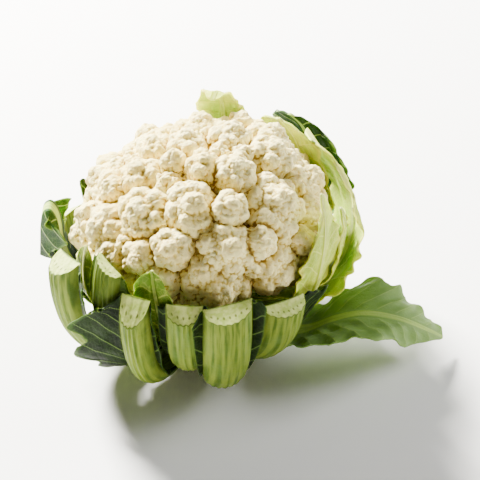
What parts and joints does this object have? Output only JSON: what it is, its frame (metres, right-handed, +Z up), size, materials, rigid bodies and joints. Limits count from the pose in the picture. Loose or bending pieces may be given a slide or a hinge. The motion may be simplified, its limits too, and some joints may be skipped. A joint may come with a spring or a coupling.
{
  "type": "cauliflower",
  "caption": "Trimmed cauliflower standing on its cut stem: a white curd of knobbly florets in a ring of cut leaf stalks, wrapped by a few whole leaves at one side",
  "frame": {"origin": "centre of the flat cut face of the stem, on which the cauliflower stands", "axes": "+Z up along the stem through the crown, -Y towards the viewer of the picture, +X to the viewer's right, where the whole leaf drapes"},
  "size_m": [0.2472, 0.1996, 0.1435],
  "materials": {
    "curd": null,
    "stem": "pale green vegetable flesh, freshly cut below",
    "cut_leaf": "pale green ribbed stalk with a dark green waxy blade at each side and a whitish cut face",
    "outer_leaf": "dark green waxy leaf with pale veins",
    "wrapper_leaf": "light green leaf with pale veins",
    "inner_leaf": "pale yellow-green young leaf"
  },
  "bodies": {
    "root": {"curd": "curd", "stem": "stem", "cut_leaf_01": "cut_leaf", "cut_leaf_02": "cut_leaf", "cut_leaf_03": "cut_leaf", "cut_leaf_04": "cut_leaf", "cut_leaf_05": "cut_leaf", "cut_leaf_06": "cut_leaf", "cut_leaf_07": "cut_leaf", "cut_leaf_08": "cut_leaf", "cut_leaf_09": "cut_leaf", "cut_leaf_10": "cut_leaf", "cut_leaf_11": "cut_leaf", "cut_leaf_12": "cut_leaf", "recurved_leaf": "outer_leaf", "draping_leaf": "outer_leaf", "light_wrapper_leaf": "wrapper_leaf", "dark_wrapper_leaf": "outer_leaf", "inner_leaf_01": "inner_leaf", "inner_leaf_02": "inner_leaf", "inner_leaf_03": "inner_leaf", "inner_leaf_04": "inner_leaf", "inner_leaf_05": "inner_leaf", "inner_leaf_06": "inner_leaf", "inner_leaf_07": "inner_leaf", "inner_leaf_08": "inner_leaf"}
  },
  "joints": []
}
